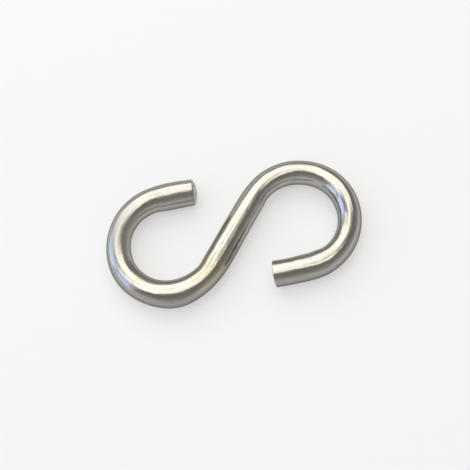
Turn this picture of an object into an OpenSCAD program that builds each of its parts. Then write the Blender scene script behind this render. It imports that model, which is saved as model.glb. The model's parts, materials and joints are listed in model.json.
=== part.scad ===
// S hook, bent cold from one length of round wire into two open eyes that face opposite ways.
//
// The hook lies flat. X runs along its long axis and Z is up. The origin is under the middle
// of the shank, on the surface that the hook lies on. The right eye bends over its top and
// comes back below, and the left eye is the same bend turned half round about the origin.

/* [Wire] */
// Diameter of the round wire
wire_d = 6; // [3:0.5:10]

/* [Bends] */
// Inside diameter of each eye
eye_d = 17.2; // [10:0.1:30]
// Angle that each bend turns through, and the larger it is the shorter the shank
bend_angle = 230; // [210:1:250]
// How much thinner the wire is drawn round the bends than along its straights
bend_thin = 0.3; // [0.1:0.05:0.6]
// Length over which each straight tapers to the thinner wire of the bend that it meets
taper_l = 3; // [1:0.5:6]
// Straight wire from the end of each bend to the rim of the cut end
tail_l = 7.6; // [4:0.1:12]

/* [Cut ends] */
// Height of the crown on the left eye's cut end, above its rim
left_crown = 1; // [0.2:0.05:1.2]
// Height of the crown on the right eye's cut end, above its rim
right_crown = 0.55; // [0.2:0.05:1.2]
// Length along the wire of the bevel that tumbling leaves on the rim of each cut end
rim_bevel = 0.3; // [0.1:0.05:0.6]

/* [Hidden] */
$fn = 96;

wire_r = wire_d / 2;
bend_wire_r = (wire_d - bend_thin) / 2;
// Each straight ends this much larger than the bend that it meets, and the bend runs on into
// it by this angle, so that their surfaces never coincide
end_step = 0.02;
lap_angle = 1;
taper_end_r = bend_wire_r + end_step;
// Radius of the wire's centreline round an eye
bend_r = eye_d / 2 + bend_wire_r;
// The tails lie along X, and the shank slopes across it from one bend to the other
shank_angle = bend_angle - 180;
// The shank is tangent to both bends, and the origin is half way along it
half_shank = bend_r / tan(shank_angle);
eye_x = bend_r / sin(shank_angle);

// Half section of the shank, with X out from the wire's axis and Y along it
module shank_profile() {
    taper_y = half_shank - taper_l;
    polygon([
        [0, -half_shank], [taper_end_r, -half_shank], [wire_r, -taper_y],
        [wire_r, taper_y], [taper_end_r, half_shank], [0, half_shank]
    ]);
}

// Half section of a tail, with X out from the wire's axis and Y along it from the bend.
// The crown is an arc of a large circle through the rim, and the bevel is half as wide as long.
module tail_profile(crown) {
    bevel_y = tail_l - rim_bevel;
    crown_r = (wire_r ^ 2 + crown ^ 2) / (2 * crown);

    polygon([[0, 0], [taper_end_r, 0], [wire_r, taper_l], [wire_r, bevel_y], [0, bevel_y]]);
    intersection() {
        translate([0, bevel_y]) polygon([[0, 0], [wire_r, 0], [0, 2 * wire_r]]);
        translate([0, tail_l + crown - crown_r]) circle(crown_r);
    }
}

// The straight wire between the eyes
module shank() {
    rotate([0, 90, shank_angle]) rotate_extrude() shank_profile();
}

// The wire round an eye, from the foot of the eye over its top to the shank
module bend() {
    rotate_extrude(angle = bend_angle + 2 * lap_angle, start = -90 - lap_angle)
        translate([bend_r, 0]) circle(bend_wire_r);
}

// The straight wire past a bend, from the foot of the eye back towards the shank
module tail(crown) {
    translate([0, -bend_r, 0]) rotate([0, -90, 0]) rotate_extrude() tail_profile(crown);
}

// The right eye, with the wire's axis at Z = 0
module eye(crown) {
    translate([eye_x, 0, 0]) {
        bend();
        tail(crown);
    }
}

module bent_wire() {
    color("silver") translate([0, 0, wire_r]) {
        shank();
        eye(right_crown);
        rotate(180) eye(left_crown);
    }
}

bent_wire();
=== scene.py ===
"""Dresses a packed S hook: the wire as bending and cutting left it, its drawn finish and a studio.

The hook lies on z = 0 with X through both eyes. A place on it is given by its station, the
distance along the wire from the middle of the shank: negative towards the left eye's cut end
and positive towards the right eye's.
"""

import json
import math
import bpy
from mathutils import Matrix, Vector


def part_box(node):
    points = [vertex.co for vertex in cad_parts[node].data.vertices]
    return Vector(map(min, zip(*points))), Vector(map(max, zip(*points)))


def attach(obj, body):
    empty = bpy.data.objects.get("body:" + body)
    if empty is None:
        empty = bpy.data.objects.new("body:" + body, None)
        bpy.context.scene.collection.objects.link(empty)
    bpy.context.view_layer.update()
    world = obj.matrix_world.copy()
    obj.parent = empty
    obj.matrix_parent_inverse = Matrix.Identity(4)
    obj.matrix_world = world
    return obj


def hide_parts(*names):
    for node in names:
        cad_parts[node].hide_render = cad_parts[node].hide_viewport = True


bl_info = {
    "name": "S Hook",
    "version": (1, 0, 0),
    "blender": (4, 5, 0),
    "location": "3D View > Sidebar > S Hook",
    "description": "Makes the bent wire of an S hook, its drawn steel finish and a pale studio",
    "category": "Object",
}

import bpy
from mathutils import Matrix, Vector, noise

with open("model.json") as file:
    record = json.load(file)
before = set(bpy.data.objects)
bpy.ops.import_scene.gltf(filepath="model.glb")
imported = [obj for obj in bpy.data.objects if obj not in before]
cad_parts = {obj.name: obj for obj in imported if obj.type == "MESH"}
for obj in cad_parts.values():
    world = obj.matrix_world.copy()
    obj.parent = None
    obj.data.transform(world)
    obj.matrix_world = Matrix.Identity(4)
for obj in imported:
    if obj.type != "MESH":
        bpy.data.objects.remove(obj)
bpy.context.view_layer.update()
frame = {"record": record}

MM = 0.001
WIRE_NODE = "bent_wire"
# Name of the mesh attribute that holds each point's place on the unbent wire, in mm: X across
# it to the left, Y up from its axis and Z the station
UNBENT = "unbent"

# The wire's own sizes come from the frame, so that this wire follows the solid's
MOUNTS = {mount["name"]: mount for mount in frame["record"]["mounts"]}
WIRE_LOW, WIRE_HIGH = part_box(WIRE_NODE)
WIRE_D = WIRE_HIGH.z - WIRE_LOW.z
EYE_X = MOUNTS["right_eye"]["pos_m"][0]
CUT_END = MOUNTS["right_cut_end"]
BEND_R = -CUT_END["pos_m"][1]
# From the foot of the bend to the far end of the tail's stretch of full diameter
TAIL_STRAIGHT = EYE_X - CUT_END["pos_m"][0] + CUT_END["dims"]["length_mm"] * MM / 2
# The shank is tangent to both bends, which fixes its slope
SHANK_ANGLE = math.asin(BEND_R / EYE_X)
HALF_SHANK = BEND_R / math.tan(SHANK_ANGLE)
BEND_LENGTH = BEND_R * (math.pi + SHANK_ANGLE)

# What bending and handling left in the wire, from the left eye's cut end to the right eye's:
# station, spread, and how far the left and the right side of the wire stand out, all in mm.
# The sides are those of someone who walks from the left eye to the right.
WORKED = (
    (-62.5, 2.4, 0.0, -0.2),
    (-54, 3.7, 0.15, 0.06),
    (-40, 6.0, 0.06, -0.27),
    (-37.5, 3.0, 0.13, 0.0),
    (-27, 9.5, 0.25, 0.06),
    (-19.5, 4.2, 0.13, 0.46),
    (-14.5, 4.8, 0.22, -0.18),
    (-8, 6.3, -0.15, 0.06),
    (5.5, 5.0, -0.03, -0.14),
    (23, 4.0, -0.12, 0.08),
    (36, 4.5, 0.0, 0.09),
    (43, 9.5, -0.27, 0.06),
    (53.5, 2.5, 0.14, 0.43),
    (60, 2.1, 0.05, -0.15),
)

# Where the section's top leans over: station, spread and how far to the left, all in mm
LEANS = (
    (-60, 5.0, -0.28),
    (-10, 7.0, 0.13),
    (13, 6.0, -0.22),
    (40.5, 2.5, -0.12),
    (45, 10.0, -0.2),
)

# The shallow waves of the skin: how closely they follow each other round the wire, and how long
# each is along it
WAVES = 4.5
WAVE_LENGTH = 1.6 * MM


class HookWireSettings(bpy.types.PropertyGroup):
    """How the wire's section changes along the hook, and how its ends are cut."""

    bend_width: bpy.props.FloatProperty(
        name="Bend width",
        description="Width of the wire across a bend, as a share of its diameter",
        default=0.92, min=0.8, max=1.0, subtype="FACTOR",
    )
    bend_height: bpy.props.FloatProperty(
        name="Bend height",
        description="Height of the wire in a bend, as a share of its diameter",
        default=0.98, min=0.9, max=1.0, subtype="FACTOR",
    )
    run_out: bpy.props.FloatProperty(
        name="Run-out",
        description="Length over which a straight changes into a bend's section",
        default=4 * MM, min=0.5 * MM, max=8 * MM, unit="LENGTH",
    )
    wave_depth: bpy.props.FloatProperty(
        name="Wave depth",
        description="Depth of the shallow waves that bending leaves in the wire's skin",
        default=0.03 * MM, min=0.0, max=0.1 * MM, unit="LENGTH", precision=6,
    )
    left_crown: bpy.props.FloatProperty(
        name="Left crown",
        description="Height of the crown on the left eye's cut end",
        default=0.75 * MM, min=0.05 * MM, max=1.2 * MM, unit="LENGTH",
    )
    right_crown: bpy.props.FloatProperty(
        name="Right crown",
        description="Height of the crown on the right eye's cut end",
        default=0.2 * MM, min=0.05 * MM, max=1.2 * MM, unit="LENGTH",
    )
    left_rim: bpy.props.FloatProperty(
        name="Left rim",
        description="How far the left eye's cut end is rounded over, along the wire",
        default=0.25 * MM, min=0.05 * MM, max=0.8 * MM, unit="LENGTH", precision=5,
    )
    right_rim: bpy.props.FloatProperty(
        name="Right rim",
        description="How far the right eye's cut end is rounded over, along the wire",
        default=0.18 * MM, min=0.05 * MM, max=0.8 * MM, unit="LENGTH", precision=5,
    )
    left_slant: bpy.props.FloatProperty(
        name="Left slant",
        description="How far the left eye's cut end is out of square",
        default=math.radians(4.5), min=0.0, max=math.radians(10), subtype="ANGLE",
    )
    right_slant: bpy.props.FloatProperty(
        name="Right slant",
        description="How far the right eye's cut end is out of square, seen from above",
        default=math.radians(4), min=math.radians(-10), max=math.radians(10), subtype="ANGLE",
    )
    right_undercut: bpy.props.FloatProperty(
        name="Right undercut",
        description="Angle by which the top of the right eye's cut end overhangs its foot",
        default=math.radians(10), min=0.0, max=math.radians(20), subtype="ANGLE",
    )
    left_reach: bpy.props.FloatProperty(
        name="Left reach",
        description="How much longer the left eye's tail is than the solid's",
        default=0.15 * MM, min=0.0, max=1 * MM, unit="LENGTH", precision=5,
    )
    right_reach: bpy.props.FloatProperty(
        name="Right reach",
        description="How much longer the right eye's tail is than the solid's",
        default=0.42 * MM, min=0.0, max=1 * MM, unit="LENGTH", precision=5,
    )
    sides: bpy.props.IntProperty(
        name="Sides", description="Faces round the wire", default=96, min=24, max=128,
    )
    ring_spacing: bpy.props.FloatProperty(
        name="Ring spacing",
        description="Distance along the wire from one ring of faces to the next",
        default=0.16 * MM, min=0.1 * MM, max=2 * MM, unit="LENGTH",
    )


class HookFinishSettings(bpy.types.PropertyGroup):
    """The finish of the drawn steel and of the sheared ends."""

    steel: bpy.props.FloatVectorProperty(
        name="Steel", description="Colour of the drawn steel",
        default=(0.485, 0.472, 0.44), min=0.0, max=1.0, subtype="COLOR",
    )
    steel_dark: bpy.props.FloatVectorProperty(
        name="Drawing marks", description="Colour of the steel in the marks that drawing leaves",
        default=(0.35, 0.33, 0.325), min=0.0, max=1.0, subtype="COLOR",
    )
    steel_warm: bpy.props.FloatVectorProperty(
        name="Warm cast", description="Colour of the steel where it has a yellow cast",
        default=(0.485, 0.47, 0.37), min=0.0, max=1.0, subtype="COLOR",
    )
    sheared: bpy.props.FloatVectorProperty(
        name="Cut face", description="Colour of the sheared ends",
        default=(0.54, 0.55, 0.48), min=0.0, max=1.0, subtype="COLOR",
    )
    sheared_dark: bpy.props.FloatVectorProperty(
        name="Tears", description="Colour of the sheared ends between their torn lines",
        default=(0.31, 0.32, 0.27), min=0.0, max=1.0, subtype="COLOR",
    )
    edge_tint: bpy.props.FloatVectorProperty(
        name="Edge tint", description="How much of its reflection the steel keeps at a grazing angle",
        default=(0.42, 0.42, 0.42), min=0.0, max=1.0, subtype="COLOR",
    )
    # Painted shade: the colour of the skin and the cut faces darkens towards the hook's lower side,
    # where it faces the floor
    underside_shade: bpy.props.FloatProperty(
        name="Underside", description="How much darker the skin is on the hook's lower side",
        default=0.36, min=0.0, max=0.5, subtype="FACTOR",
    )
    # Painted shade: the skin's colour darkens towards the rims round the outside of each eye
    outside: bpy.props.FloatProperty(
        name="Outside", description="How much darker the skin is round the outside of an eye",
        default=0.2, min=0.0, max=0.5, subtype="FACTOR",
    )
    roughness: bpy.props.FloatProperty(
        name="Roughness", description="Roughness of the drawn steel",
        default=0.19, min=0.05, max=0.6, subtype="FACTOR",
    )
    mark_depth: bpy.props.FloatProperty(
        name="Mark depth", description="Depth of the drawing marks",
        default=0.007 * MM, min=0.0, max=0.05 * MM, unit="LENGTH", precision=6,
    )
    pit_depth: bpy.props.FloatProperty(
        name="Pit depth", description="Depth of the fine pits between the drawing marks",
        default=0.005 * MM, min=0.0, max=0.05 * MM, unit="LENGTH", precision=6,
    )
    tear_depth: bpy.props.FloatProperty(
        name="Tear depth", description="Depth of the torn lines of the sheared ends",
        default=0.03 * MM, min=0.0, max=0.1 * MM, unit="LENGTH", precision=6,
    )
    cast_station: bpy.props.FloatProperty(
        name="Yellow place", description="Station of the shank's yellow cast",
        default=-11.5 * MM, unit="LENGTH",
    )
    worn_station: bpy.props.FloatProperty(
        name="Worn place", description="Station of the bend's rubbed, duller skin",
        default=-42 * MM, unit="LENGTH",
    )
    worn_roughness: bpy.props.FloatProperty(
        name="Worn roughness", description="Roughness that the rubbed skin adds",
        default=0.13, min=0.0, max=0.5, subtype="FACTOR",
    )
    dull_station: bpy.props.FloatProperty(
        name="Dull place", description="Station of the left tail's duller skin",
        default=-61 * MM, unit="LENGTH",
    )
    dull_roughness: bpy.props.FloatProperty(
        name="Dull roughness", description="Roughness that the left tail's duller skin adds",
        default=0.05, min=0.0, max=0.5, subtype="FACTOR",
    )


class HookStudioSettings(bpy.types.PropertyGroup):
    """The studio that the hook is shown in. A brightness of 1 is white."""

    key_brightness: bpy.props.FloatProperty(
        name="Key", description="Brightness of the level panels overhead",
        default=2.4, min=0.0, max=4.0,
    )
    window_brightness: bpy.props.FloatProperty(
        name="Window", description="Brightness of the window at the hook's left",
        default=1.82, min=0.0, max=4.0,
    )
    lamp_colour: bpy.props.FloatVectorProperty(
        name="Lamp colour", description="Colour of the level panels",
        default=(1.0, 0.985, 0.88), min=0.0, max=1.0, subtype="COLOR",
    )
    window_colour: bpy.props.FloatVectorProperty(
        name="Window colour", description="Colour of the window",
        default=(0.43, 0.58, 1.0), min=0.0, max=1.0, subtype="COLOR",
    )
    floor_colour: bpy.props.FloatVectorProperty(
        name="Floor", description="Colour of the floor's paint",
        default=(0.86, 0.855, 0.855), min=0.0, max=1.0, subtype="COLOR",
    )
    floor_glow: bpy.props.FloatProperty(
        name="Floor white", description="Share of the floor that is seen as plain white",
        default=0.5, min=0.0, max=1.0, subtype="FACTOR",
    )


def side_growth(station):
    """How far the wire's left and right side stand out at a station, in metres."""
    left = right = 0.0
    for centre, spread, on_left, on_right in WORKED:
        share = math.exp(-(((station / MM - centre) / spread) ** 2))
        left += on_left * MM * share
        right += on_right * MM * share
    return left, right


def lean(station):
    """How far the top of the wire's section leans to the left at a station, in metres."""
    return sum(
        to_left * MM * math.exp(-(((station / MM - centre) / spread) ** 2))
        for centre, spread, to_left in LEANS
    )


def smooth(t):
    """0 up to t = 0 and 1 from t = 1, with a soft rise between them."""
    t = min(max(t, 0.0), 1.0)
    return t * t * (3 - 2 * t)


def bend_share(station, run_out):
    """0 where the wire is straight and 1 where it is fully bent."""
    distance = abs(station)
    from_shank = (distance - HALF_SHANK) / run_out + 0.5
    to_tail = (HALF_SHANK + BEND_LENGTH - distance) / run_out + 0.5
    return smooth(from_shank) * smooth(to_tail)


def axis_place(station):
    """The wire's axis at a station: its place and its direction, in the plane of the hook."""
    distance = abs(station)
    if distance < HALF_SHANK:
        heading = SHANK_ANGLE
        place = Vector((math.cos(heading), math.sin(heading))) * distance
    elif distance < HALF_SHANK + BEND_LENGTH:
        heading = SHANK_ANGLE - (distance - HALF_SHANK) / BEND_R
        place = Vector((EYE_X - BEND_R * math.sin(heading), BEND_R * math.cos(heading)))
    else:
        heading = -math.pi
        place = Vector((EYE_X - (distance - HALF_SHANK - BEND_LENGTH), -BEND_R))
    direction = Vector((math.cos(heading), math.sin(heading)))
    if station < 0:
        place = -place
    return place, direction


class Section:
    """The wire's section at a station: two half ellipses that share their height."""

    def __init__(self, station, wire):
        self.station = station
        self.place, self.direction = axis_place(station)
        self.left = Vector((-self.direction.y, self.direction.x))
        bent = bend_share(station, wire.run_out)
        half = WIRE_D / 2
        half_width = half * (1 + (wire.bend_width - 1) * bent)
        grow_left, grow_right = side_growth(station)
        self.half_left = half_width + grow_left
        self.half_right = half_width + grow_right
        self.half_height = half * (1 + (wire.bend_height - 1) * bent)
        self.wave_depth = wire.wave_depth
        self.lean = lean(station)

    def point(self, angle, share=1.0):
        """A point of the section, and how far it is across and up from the wire's axis.

        The angle is 0 at the wire's left side and grows upwards. The share is that of the way
        from the axis to the skin.
        """
        across, up = math.cos(angle), math.sin(angle)
        wave = noise.noise(Vector((across * WAVES, up * WAVES, self.station / WAVE_LENGTH)))
        reach = share * (1 - self.wave_depth * (1 + wave) / WIRE_D)
        across *= reach * (self.half_left if across > 0 else self.half_right)
        across += reach * up * self.lean
        up *= reach * self.half_height
        flat = self.place + self.left * across
        return Vector((flat.x, flat.y, WIRE_D / 2 + up)), across, up


# Rings of faces over the rounded rim of a cut end, and over its crown
RIM_STEPS = 8
CROWN_STEPS = 22


def end_profile(crown, rim_round):
    """(share of the radius, height above the rim's foot) from the rim to the middle of a cut end."""
    rim_share = rim_round / WIRE_D
    crown_r = ((WIRE_D / 2) ** 2 + crown ** 2) / (2 * crown)

    def crown_height(share):
        return math.sqrt(crown_r ** 2 - (share * WIRE_D / 2) ** 2) - crown_r + crown

    profile = []
    for step in range(1, RIM_STEPS + 1):
        turn = math.pi / 2 * step / RIM_STEPS
        share = 1 - rim_share + rim_share * math.cos(turn)
        profile.append((share, crown_height(share) + rim_round * math.sin(turn)))
    for step in range(1, CROWN_STEPS):
        share = (1 - rim_share) * (1 - step / CROWN_STEPS)
        profile.append((share, crown_height(share) + rim_round))
    profile.append((0.0, crown + rim_round))
    return profile


def wire_rings(wire):
    """The mesh's rings from the left eye's cut end to the right's, and how many each cut end has."""
    angles = [2 * math.pi * k / wire.sides - math.pi / 2 for k in range(wire.sides)]
    rim_foot = HALF_SHANK + BEND_LENGTH + TAIL_STRAIGHT
    steps = round(2 * rim_foot / wire.ring_spacing)
    stations = [-rim_foot + 2 * rim_foot * step / steps for step in range(steps + 1)]
    skin = [wire_ring(Section(station, wire), angles, wire) for station in stations]
    ends = []
    for station, crown, rim_round in (
        (-rim_foot, wire.left_crown, wire.left_rim),
        (rim_foot, wire.right_crown, wire.right_rim),
    ):
        section = Section(station, wire)
        profile = end_profile(crown, rim_round)
        ends.append([wire_ring(section, angles, wire, *place) for place in profile])
    left_end, right_end = ends
    return left_end[::-1] + skin + right_end, len(left_end)


def tail_stretch(station, across, up, wire):
    """How far a point of the wire moves outwards along it, so that the cut ends lie aslant."""
    past_bend = abs(station) - HALF_SHANK - BEND_LENGTH
    share = smooth(past_bend / TAIL_STRAIGHT)
    if station < 0:
        return (wire.left_reach - math.tan(wire.left_slant) * across) * share
    aslant = math.tan(wire.right_slant) * across + math.tan(wire.right_undercut) * up
    return (wire.right_reach + aslant) * share


def wire_ring(section, angles, wire, share=1.0, height=0.0):
    """A ring's points and unbent points: on the wire's skin, or within a cut end at a height."""
    outwards = math.copysign(1, section.station)
    along = Vector((*section.direction, 0))
    points, unbent = [], []
    for angle in angles:
        point, across, up = section.point(angle, share)
        shift = outwards * (height + tail_stretch(section.station, across, up, wire))
        points.append(point + along * shift)
        unbent.append(Vector((across, up, section.station + shift)) / MM)
    return points, unbent


def wire_mesh(wire):
    """The whole hook as one closed mesh, with each point's place on the unbent wire."""
    rings, cut_count = wire_rings(wire)
    sides = wire.sides
    # A cut end's middle ring has no size, so one vertex stands for it
    ends = (0, len(rings) - 1)
    vertices, unbent, first = [], [], []
    for index, (points, straight) in enumerate(rings):
        first.append(len(vertices))
        count = 1 if index in ends else sides
        vertices += [tuple(p) for p in points[:count]]
        unbent += [tuple(p) for p in straight[:count]]
    faces, on_cut = [], []
    for index in range(len(rings) - 1):
        low, high = first[index], first[index + 1]
        cut = index + 1 < cut_count or index >= len(rings) - cut_count
        for k in range(sides):
            j = (k + 1) % sides
            if index == ends[0]:
                face = (low, high + j, high + k)
            elif index + 1 == ends[1]:
                face = (low + k, low + j, high)
            else:
                face = (low + k, low + j, high + j, high + k)
            faces.append(face)
            on_cut.append(cut)
    mesh = bpy.data.meshes.new("hook_wire")
    mesh.from_pydata(vertices, [], faces)
    attribute = mesh.attributes.new(UNBENT, "FLOAT_VECTOR", "POINT")
    attribute.data.foreach_set("vector", [value for point in unbent for value in point])
    # The finish of the skin comes first and that of the cut faces second
    mesh.polygons.foreach_set("material_index", [1 if cut else 0 for cut in on_cut])
    mesh.shade_smooth()
    return mesh


class NodeSheet:
    """A material's nodes, made one after another from left to right."""

    FIRST_COLUMN = -1400
    COLUMN_WIDTH = 180
    ROW = 200

    def __init__(self, name):
        self.material = bpy.data.materials.new(name)
        self.material.use_nodes = True
        self.nodes = self.material.node_tree.nodes
        self.links = self.material.node_tree.links
        self.shader = self.nodes["Principled BSDF"]
        self.column = self.FIRST_COLUMN

    def node(self, kind, inputs=None, **settings):
        """Adds a node. An input's value is a number, a colour or another node's output."""
        node = self.nodes.new(kind)
        node.location = (self.column, self.ROW)
        self.column += self.COLUMN_WIDTH
        for key, value in settings.items():
            setattr(node, key, value)
        for key, value in (inputs or {}).items():
            if isinstance(value, bpy.types.NodeSocket):
                self.links.new(value, node.inputs[key])
            else:
                node.inputs[key].default_value = value
        return node

    def shade(self, **inputs):
        """Sets the shader's own sockets, with _ for each space in a socket's name."""
        for key, value in inputs.items():
            socket = self.shader.inputs[key.replace("_", " ")]
            if isinstance(value, bpy.types.NodeSocket):
                self.links.new(value, socket)
            else:
                socket.default_value = value

    def unbent_place(self, stretch=(1, 1, 1)):
        """The place on the unbent wire in mm. A pattern laid by it is stretched as many times."""
        place = self.node("ShaderNodeAttribute", attribute_name=UNBENT).outputs["Vector"]
        scale = [1 / times for times in stretch]
        return self.node("ShaderNodeMapping", {"Vector": place, "Scale": scale}).outputs["Vector"]

    def noise(self, place, scale, detail):
        """Even noise from 0 to 1, with about so many blots to each unit of the place."""
        return self.node(
            "ShaderNodeTexNoise", {"Vector": place, "Scale": scale, "Detail": detail}
        ).outputs["Fac"]

    def blend(self, factor, first, second):
        """Mixes two colours, each of them a node's output or a plain colour."""
        inputs = {"Factor": factor}
        for key, colour in (("A", first), ("B", second)):
            inputs[key] = colour if isinstance(colour, bpy.types.NodeSocket) else (*colour, 1)
        return self.node("ShaderNodeMix", inputs, data_type="RGBA").outputs["Result"]

    def math(self, operation, *values):
        """One step of arithmetic on numbers or nodes' outputs."""
        inputs = dict(enumerate(values))
        return self.node("ShaderNodeMath", inputs, operation=operation).outputs[0]

    def spread(self, value, low, high, to_low=0.0, to_high=1.0):
        """Maps a value from one range to another, and holds it there."""
        return self.node(
            "ShaderNodeMapRange",
            {"Value": value, "From Min": low, "From Max": high, "To Min": to_low, "To Max": to_high},
        ).outputs["Result"]

    def near_station(self, station, centre, full, none):
        """1 within a distance of a station, in mm, and 0 past another."""
        distance = self.math("ABSOLUTE", self.math("SUBTRACT", station, centre / MM))
        return self.spread(distance, full, none, 1.0, 0.0)

    def bump(self, height, depth, under=None):
        """The surface's direction with a relief laid on it, or on the relief under it."""
        inputs = {"Height": height, "Distance": depth, "Strength": 1.0}
        if under:
            inputs["Normal"] = under
        return self.node("ShaderNodeBump", inputs).outputs["Normal"]


BLACK = (0.0, 0.0, 0.0)


def drawn_steel(finish):
    """Bright steel with the fine lines of the die along it and casts of colour. Painted shade darkens
    it towards the hook's lower side and round the outside of each eye.
    """
    sheet = NodeSheet("drawn_steel")
    place = sheet.node("ShaderNodeSeparateXYZ", {"Vector": sheet.unbent_place()}).outputs
    across, up, station = place["X"], place["Y"], place["Z"]
    # Each pattern is stretched along the wire, as drawing stretches all that is in the skin
    die_lines = sheet.noise(sheet.unbent_place((1, 1, 18)), scale=2.6, detail=6.0)
    pits = sheet.noise(sheet.unbent_place((1, 1, 3)), scale=4.0, detail=3.0)
    patches = sheet.noise(sheet.unbent_place((1, 1, 2)), scale=0.45, detail=3.0)

    yellow = sheet.near_station(station, finish.cast_station, full=2.0, none=5.0)
    cast = sheet.math("MAXIMUM", sheet.spread(patches, 0.5, 0.75), yellow)
    skin = sheet.blend(cast, finish.steel, finish.steel_warm)
    skin = sheet.blend(sheet.spread(die_lines, 0.45, 0.75, to_high=0.5), skin, finish.steel_dark)
    skin = sheet.blend(sheet.spread(pits, 0.4, 0.75, to_high=0.45), skin, finish.steel_dark)
    # Painted shade round the outside of each eye: the outside of the right eye is at the wire's left,
    # and that of the left eye at its right
    turn = sheet.spread(station, -4.0, 4.0, -1.0, 1.0)
    outwards = sheet.math("MULTIPLY", across, turn)
    skin = sheet.blend(sheet.spread(outwards, 1.4, 2.6, to_high=finish.outside), skin, BLACK)
    # Painted shade: the skin's colour darkens towards the hook's lower side
    skin = sheet.blend(sheet.spread(up, -0.8, 1.9, finish.underside_shade, 0.0), skin, BLACK)

    worn = sheet.near_station(station, finish.worn_station, full=3.0, none=9.0)
    dull = sheet.near_station(station, finish.dull_station, full=3.0, none=9.0)
    rubbed = sheet.math("MULTIPLY", worn, finish.worn_roughness)
    rubbed = sheet.math("MULTIPLY_ADD", dull, finish.dull_roughness, rubbed)
    even = sheet.spread(patches, 0.3, 0.7, finish.roughness - 0.02, finish.roughness + 0.04)
    relief = sheet.bump(pits, finish.pit_depth, under=sheet.bump(die_lines, finish.mark_depth))
    sheet.shade(
        Base_Color=skin, Metallic=1.0, Roughness=sheet.math("ADD", even, rubbed),
        Specular_Tint=(*finish.edge_tint, 1), Normal=relief,
    )
    return sheet.material


def sheared_steel(finish):
    """The grey face that the cropping blade left, torn in upright lines, with painted shade towards
    its lower side.
    """
    sheet = NodeSheet("sheared_steel")
    place = sheet.unbent_place()
    up = sheet.node("ShaderNodeSeparateXYZ", {"Vector": place}).outputs["Y"]
    tears = sheet.noise(sheet.unbent_place((1, 12.5, 1)), scale=2.2, detail=4.0)
    grain = sheet.noise(place, scale=6.0, detail=4.0)
    torn = sheet.blend(sheet.spread(tears, 0.35, 0.65), finish.sheared_dark, finish.sheared)
    # Painted shade: the cut face's colour darkens towards the hook's lower side
    torn = sheet.blend(sheet.spread(up, -0.8, 2.4, finish.underside_shade, 0.0), torn, BLACK)
    sheet.shade(
        Base_Color=torn, Metallic=1.0, Roughness=sheet.spread(grain, 0.3, 0.7, 0.3, 0.45),
        Normal=sheet.bump(tears, finish.tear_depth),
    )
    return sheet.material


class HOOK_OT_bend_wire(bpy.types.Operator):
    """Bend the wire of the hook and give it its finish"""

    bl_idname = "s_hook.bend_wire"
    bl_label = "Bend Wire"

    def execute(self, context):
        scene = context.scene
        mesh = wire_mesh(scene.hook_wire)
        hook = bpy.data.objects.new("drawn_wire_hook", mesh)
        scene.collection.objects.link(hook)
        mesh.materials.append(drawn_steel(scene.hook_finish))
        mesh.materials.append(sheared_steel(scene.hook_finish))
        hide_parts(WIRE_NODE)
        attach(hook, "root")
        return {"FINISHED"}


# The camera looks down on the hook from its front: what it looks at, from how far, how far it is
# tilted from straight down, which way it stands from the hook and how far it is rolled
CAMERA_TARGET = Vector((0.13 * MM, -0.75 * MM, WIRE_D / 2))
CAMERA_DISTANCE = 186.4 * MM
CAMERA_TILT = math.radians(19.53)
CAMERA_TURN = math.radians(-91.41)
CAMERA_ROLL = math.radians(-11.24)
CAMERA_LENS = 63.77
SENSOR_WIDTH = 36.0


def add_camera(scene):
    """The camera, tilted from straight down and rolled so that the hook lies aslant."""
    back = Vector((
        math.sin(CAMERA_TILT) * math.cos(CAMERA_TURN),
        math.sin(CAMERA_TILT) * math.sin(CAMERA_TURN),
        math.cos(CAMERA_TILT),
    ))
    right = Vector((0, 1, 0)).cross(back).normalized()
    up = back.cross(right)
    facing = Matrix((right, up, back)).transposed().to_4x4()
    camera = bpy.data.cameras.new("camera")
    camera.lens = CAMERA_LENS
    camera.sensor_width = SENSOR_WIDTH
    camera.clip_start = 10 * MM
    camera.clip_end = 20.0
    holder = bpy.data.objects.new("camera", camera)
    holder.matrix_world = (
        Matrix.Translation(CAMERA_TARGET + back * CAMERA_DISTANCE)
        @ facing
        @ Matrix.Rotation(CAMERA_ROLL, 4, "Z")
    )
    scene.collection.objects.link(holder)
    scene.camera = holder


# The studio's own axes are turned by this angle, which is close to the camera's roll
STUDIO_TURN = math.radians(-11.8)
# The level panels hang side by side at one height. Each one has its extent across and away from
# the camera, in metres, its share of the key's brightness and how cool its light is.
PANEL_HEIGHT = 1.0
CEILING = (
    ("far_corner_panel", (-2.05, -1.15), (1.05, 1.75), 0.9, 0.0),
    ("far_left_panel", (-1.15, -0.1), (0.48, 2.15), 0.95, 0.15),
    ("far_right_panel", (-0.1, 0.65), (0.46, 1.1), 0.95, 0.0),
    ("far_edge_panel", (-0.1, 0.45), (1.1, 2.0), 0.55, 0.0),
    ("middle_left_panel", (-0.65, -0.26), (0.15, 0.4), 0.2, 0.1),
    ("middle_panel", (-0.26, 0.08), (0.12, 0.46), 0.92, 0.0),
    ("middle_right_panel", (0.08, 0.27), (0.05, 0.46), 0.4, 0.0),
    ("near_left_panel", (-1.0, -0.48), (-0.12, 0.06), 0.92, 0.25),
    ("near_corner_panel", (-0.97, -0.6), (-0.42, -0.12), 0.68, 0.4),
    ("near_inner_panel", (-0.48, -0.2), (-0.25, 0.14), 1.18, 0.2),
    ("near_middle_panel", (-0.2, 0.1), (-0.15, 0.12), 0.82, 0.0),
    ("near_right_panel", (0.1, 0.5), (-0.19, 0.05), 0.95, 0.0),
)
# The window stands at the hook's left. Each pane has its extent away from the camera and upwards,
# in metres, and its share of the window's brightness.
WINDOW_X = -1.1
PANES = (
    ("far_pane", (-0.1, 0.5), (0.05, 1.05), 1.0),
    ("near_pane", (-0.8, -0.2), (0.24, 1.03), 0.88),
)


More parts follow.
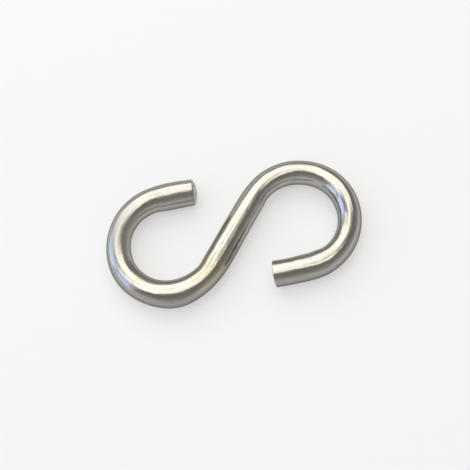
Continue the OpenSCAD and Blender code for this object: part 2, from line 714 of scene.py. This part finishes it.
def add_panel(scene, name, size, place, brightness, colour):
    """A soft lamp that shines along its own -Z. Its place is a matrix in the studio's axes."""
    lamp = bpy.data.lights.new(name, "AREA")
    lamp.shape = "RECTANGLE"
    lamp.size, lamp.size_y = size
    lamp.energy = brightness * math.pi * size[0] * size[1]
    lamp.color = colour
    panel = bpy.data.objects.new(name, lamp)
    panel.matrix_world = Matrix.Rotation(STUDIO_TURN, 4, "Z") @ place
    scene.collection.objects.link(panel)


def add_ceiling(scene, studio):
    """The level panels, which together make the broken light overhead."""
    for name, (left, right), (near, far), share, cool in CEILING:
        centre = Vector(((left + right) / 2, (near + far) / 2, PANEL_HEIGHT))
        colour = Vector(studio.lamp_colour).lerp(studio.window_colour, cool)
        add_panel(
            scene, name, (right - left, far - near), Matrix.Translation(centre),
            studio.key_brightness * share, colour,
        )


def add_window(scene, studio):
    """The cool upright panes that face the hook."""
    for name, (near, far), (low, high), share in PANES:
        centre = Vector((WINDOW_X, (near + far) / 2, (low + high) / 2))
        place = Matrix.Translation(centre) @ Matrix.Rotation(-math.pi / 2, 4, "Y")
        add_panel(
            scene, name, (high - low, far - near), place,
            studio.window_brightness * share, studio.window_colour,
        )


# The room's light falls off along this direction in the studio's axes, upwards for the most part
ROOM_AXIS = Vector((0.10, 0.22, 1.0))


def add_room(scene):
    """The room's own light: dim overhead and brighter low down, most of all behind the camera."""
    world = bpy.data.worlds.new("room")
    scene.world = world
    world.use_nodes = True
    nodes, links = world.node_tree.nodes, world.node_tree.links
    direction = nodes.new("ShaderNodeTexCoord")
    height = nodes.new("ShaderNodeVectorMath")
    height.operation = "DOT_PRODUCT"
    height.inputs[1].default_value = Matrix.Rotation(STUDIO_TURN, 3, "Z") @ ROOM_AXIS
    walls = nodes.new("ShaderNodeValToRGB")
    links.new(direction.outputs["Generated"], height.inputs[0])
    links.new(height.outputs["Value"], walls.inputs["Fac"])
    links.new(walls.outputs["Color"], nodes["Background"].inputs["Color"])
    ramp = walls.color_ramp
    horizon, overhead = ramp.elements
    horizon.position = 0.0
    horizon.color = (0.8, 0.79, 0.79, 1)
    overhead.position = 0.75
    overhead.color = (0.27, 0.247, 0.24, 1)
    walls_low = ramp.elements.new(0.15)
    walls_low.color = (0.6, 0.585, 0.57, 1)
    walls_high = ramp.elements.new(0.4)
    walls_high.color = (0.38, 0.362, 0.34, 1)


def floor_paint(studio):
    """Matt paint. The eye and the metal see a share of it as plain white, so shadows stay light."""
    sheet = NodeSheet("floor_paint")
    place = sheet.node("ShaderNodeTexCoord").outputs["Object"]
    mottle = sheet.noise(place, scale=9.0, detail=2.0)
    mottled = [0.985 * channel for channel in studio.floor_colour]
    tint = sheet.blend(mottle, studio.floor_colour, mottled)
    sheet.shade(Base_Color=tint, Roughness=0.9, Specular_IOR_Level=0.0)
    ray = sheet.node("ShaderNodeLightPath").outputs
    seen = sheet.math("MAXIMUM", ray["Is Camera Ray"], ray["Is Glossy Ray"])
    seen = sheet.math("MAXIMUM", seen, ray["Is Transmission Ray"])
    share = sheet.math("MULTIPLY", seen, studio.floor_glow)
    white = sheet.node("ShaderNodeEmission", {"Color": (1, 1, 1, 1), "Strength": 1.0}).outputs[0]
    mix = sheet.node("ShaderNodeMixShader", {0: share, 1: sheet.shader.outputs[0], 2: white})
    sheet.links.new(mix.outputs[0], sheet.nodes["Material Output"].inputs["Surface"])
    return sheet.material


# Radii of the floor's rings of faces, in metres, of which the last is the floor's own
FLOOR_RINGS = (0.05, 0.2, 0.6, 2.5)
FLOOR_SIDES = 96


def add_floor(scene, studio):
    """A round, flat floor."""
    sides = FLOOR_SIDES
    turns = [2 * math.pi * k / sides for k in range(sides)]
    vertices = [(r * math.cos(turn), r * math.sin(turn), 0.0) for r in FLOOR_RINGS for turn in turns]
    middle = len(vertices)
    vertices.append((0.0, 0.0, 0.0))
    faces = [(middle, k, (k + 1) % sides) for k in range(sides)]
    for ring in range(len(FLOOR_RINGS) - 1):
        low, high = ring * sides, (ring + 1) * sides
        faces += [
            (low + k, high + k, high + (k + 1) % sides, low + (k + 1) % sides) for k in range(sides)
        ]
    mesh = bpy.data.meshes.new("floor")
    mesh.from_pydata(vertices, [], faces)
    mesh.shade_smooth()
    mesh.materials.append(floor_paint(studio))
    floor = bpy.data.objects.new("floor", mesh)
    scene.collection.objects.link(floor)


class HOOK_OT_set_stage(bpy.types.Operator):
    """Set up the floor, the lamps, the room light and the camera"""

    bl_idname = "s_hook.set_stage"
    bl_label = "Set Stage"

    def execute(self, context):
        scene = context.scene
        studio = scene.hook_studio
        add_camera(scene)
        add_floor(scene, studio)
        add_room(scene)
        add_ceiling(scene, studio)
        add_window(scene, studio)
        scene.view_settings.view_transform = "Standard"
        return {"FINISHED"}


class HOOK_PT_sidebar(bpy.types.Panel):
    """Lists the steps that make the hook, and their settings"""

    bl_label = "S Hook"
    bl_idname = "HOOK_PT_sidebar"
    bl_space_type = "VIEW_3D"
    bl_region_type = "UI"
    bl_category = "S Hook"

    def draw(self, context):
        scene = context.scene
        for operator, groups in (
            (HOOK_OT_bend_wire, (scene.hook_wire, scene.hook_finish)),
            (HOOK_OT_set_stage, (scene.hook_studio,)),
        ):
            box = self.layout.box()
            box.operator(operator.bl_idname)
            for group in groups:
                for name in group.__annotations__:
                    box.prop(group, name)


CLASSES = (
    HookWireSettings,
    HookFinishSettings,
    HookStudioSettings,
    HOOK_OT_bend_wire,
    HOOK_OT_set_stage,
    HOOK_PT_sidebar,
)


def register():
    for cls in CLASSES:
        bpy.utils.register_class(cls)
    bpy.types.Scene.hook_wire = bpy.props.PointerProperty(type=HookWireSettings)
    bpy.types.Scene.hook_finish = bpy.props.PointerProperty(type=HookFinishSettings)
    bpy.types.Scene.hook_studio = bpy.props.PointerProperty(type=HookStudioSettings)


def unregister():
    del bpy.types.Scene.hook_studio
    del bpy.types.Scene.hook_finish
    del bpy.types.Scene.hook_wire
    for cls in reversed(CLASSES):
        bpy.utils.unregister_class(cls)


def main():
    register()
    bpy.ops.s_hook.set_stage()
    bpy.ops.s_hook.bend_wire()


if __name__ == "__main__":
    main()
